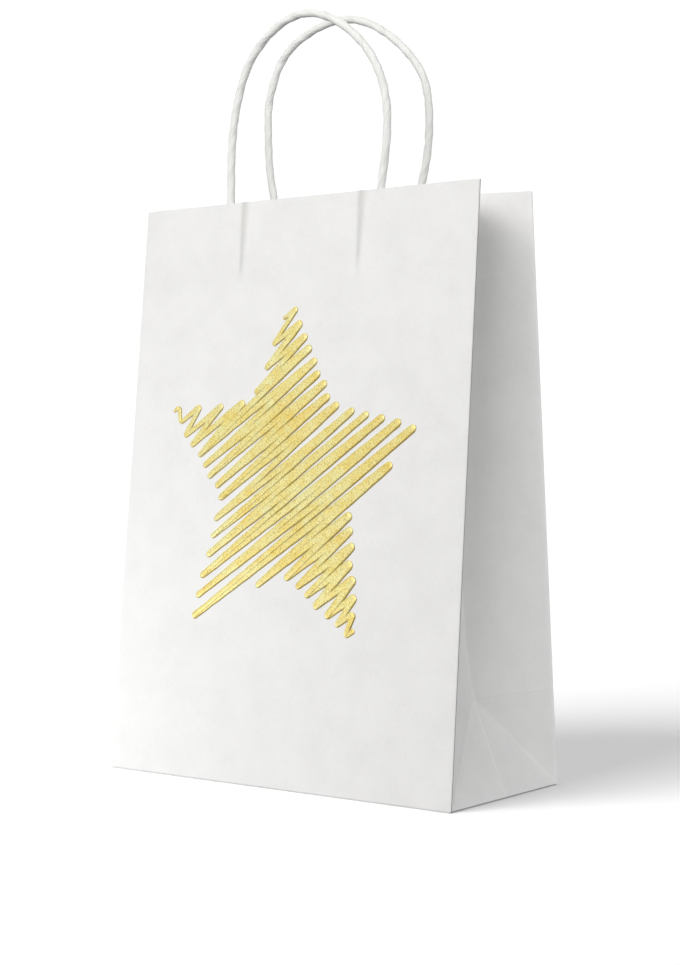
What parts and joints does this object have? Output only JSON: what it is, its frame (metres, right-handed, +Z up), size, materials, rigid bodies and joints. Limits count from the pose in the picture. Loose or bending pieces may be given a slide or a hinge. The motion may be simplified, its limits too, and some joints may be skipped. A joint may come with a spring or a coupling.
{
  "type": "gift bag",
  "caption": "Free-standing white paper gift bag: block bottom, folded-in side gussets, twisted-paper cord handles and a scribbled gold foil star on the front.",
  "frame": {"origin": "centre of the base, on the surface that the bag stands on", "axes": "+Z up, +X to the right seen from the front, -Y towards the viewer, the panel with the star"},
  "size_m": [0.222, 0.103, 0.4178],
  "materials": {
    "bag_paper": "uncoated white paper with soft wrinkles",
    "patch_paper": "uncoated white paper strip",
    "cord_paper": "twisted white paper cord",
    "gold_foil": "grainy stamped gold foil film"
  },
  "bodies": {
    "base": {"bottom_front_flap": "bag_paper", "bottom_back_flap": "bag_paper", "bottom_left_flap": "bag_paper", "bottom_right_flap": "bag_paper"},
    "front": {"front_panel": "bag_paper", "foil_star": "gold_foil", "front_patch_backing": "patch_paper", "front_patch_cover": "patch_paper", "front_left_cord_end": "cord_paper", "front_right_cord_end": "cord_paper"},
    "back": {"back_panel": "bag_paper", "seam_lap": "bag_paper", "back_patch_backing": "patch_paper", "back_patch_cover": "patch_paper", "back_left_cord_end": "cord_paper", "back_right_cord_end": "cord_paper"},
    "front_handle": {"front_handle_loop": "cord_paper"},
    "back_handle": {"back_handle_loop": "cord_paper"},
    "left_gusset_front": {"left_gusset_front_leaf": "bag_paper"},
    "left_gusset_back": {"left_gusset_back_leaf": "bag_paper"},
    "left_corner": {"left_gusset_corner_leaf": "bag_paper"},
    "left_triangle": {"left_base_triangle": "bag_paper"},
    "right_gusset_front": {"right_gusset_front_leaf": "bag_paper"},
    "right_gusset_back": {"right_gusset_back_leaf": "bag_paper"},
    "right_corner": {"right_gusset_corner_leaf": "bag_paper"},
    "right_triangle": {"right_base_triangle": "bag_paper"}
  },
  "joints": [
    {"name": "mouth_close", "type": "hinge", "parent": "base", "child": "front", "pos_m": [0, -0.05135, 0.00015], "axis": [-1, 0, 0], "range_deg": [-3, 2.8]},
    {"name": "back_lean", "type": "hinge", "parent": "base", "child": "back", "pos_m": [0, 0.05135, 0.00015], "axis": [1, 0, 0], "range_deg": [-3.05, 2.85]},
    {"name": "left_front_fold", "type": "hinge", "parent": "front", "child": "left_gusset_front", "pos_m": [-0.11065, -0.03765, 0.15438], "axis": [0, -0.0823, -0.9966], "range_deg": [-21.1, 19.7]},
    {"name": "left_back_fold", "type": "hinge", "parent": "back", "child": "left_gusset_back", "pos_m": [-0.11065, 0.03765, 0.15438], "axis": [0, -0.0823, 0.9966], "range_deg": [-21.1, 19.7]},
    {"name": "left_corner_fold", "type": "hinge", "parent": "back", "child": "left_corner", "pos_m": [-0.11065, 0.04835, 0.02482], "axis": [0, -0.0823, 0.9966], "range_deg": [-7.3, 6.8]},
    {"name": "left_triangle_tilt", "type": "hinge", "parent": "base", "child": "left_triangle", "pos_m": [-0.11065, 0, 0.00075], "axis": [0, 1, 0], "range_deg": [-7.3, 6.8]},
    {"name": "right_front_fold", "type": "hinge", "parent": "front", "child": "right_gusset_front", "pos_m": [0.11065, -0.03765, 0.15438], "axis": [0, 0.0823, 0.9966], "range_deg": [-21.1, 19.7]},
    {"name": "right_back_fold", "type": "hinge", "parent": "back", "child": "right_gusset_back", "pos_m": [0.11065, 0.03765, 0.15438], "axis": [0, 0.0823, -0.9966], "range_deg": [-21.1, 19.7]},
    {"name": "right_corner_fold", "type": "hinge", "parent": "back", "child": "right_corner", "pos_m": [0.11065, 0.04835, 0.02482], "axis": [0, 0.0823, -0.9966], "range_deg": [-7.3, 6.8]},
    {"name": "right_triangle_tilt", "type": "hinge", "parent": "base", "child": "right_triangle", "pos_m": [0.11065, 0, 0.00075], "axis": [0, -1, 0], "range_deg": [-7.3, 6.8]},
    {"name": "front_handle_swing", "type": "hinge", "parent": "front", "child": "front_handle", "pos_m": [0, -0.02318, 0.31153], "axis": [1, 0, 0], "range_deg": [-11, 100]},
    {"name": "back_handle_swing", "type": "hinge", "parent": "back", "child": "back_handle", "pos_m": [0, 0.02318, 0.31153], "axis": [-1, 0, 0], "range_deg": [-11, 100]}
  ],
  "couplings": [
    {"joint": "back_lean", "follows": "mouth_close", "ratio": 1},
    {"joint": "left_front_fold", "follows": "mouth_close", "ratio": 7},
    {"joint": "left_back_fold", "follows": "mouth_close", "ratio": 7},
    {"joint": "left_corner_fold", "follows": "mouth_close", "ratio": 2.4},
    {"joint": "left_triangle_tilt", "follows": "mouth_close", "ratio": 2.4},
    {"joint": "right_front_fold", "follows": "mouth_close", "ratio": 7},
    {"joint": "right_back_fold", "follows": "mouth_close", "ratio": 7},
    {"joint": "right_corner_fold", "follows": "mouth_close", "ratio": 2.4},
    {"joint": "right_triangle_tilt", "follows": "mouth_close", "ratio": 2.4}
  ]
}
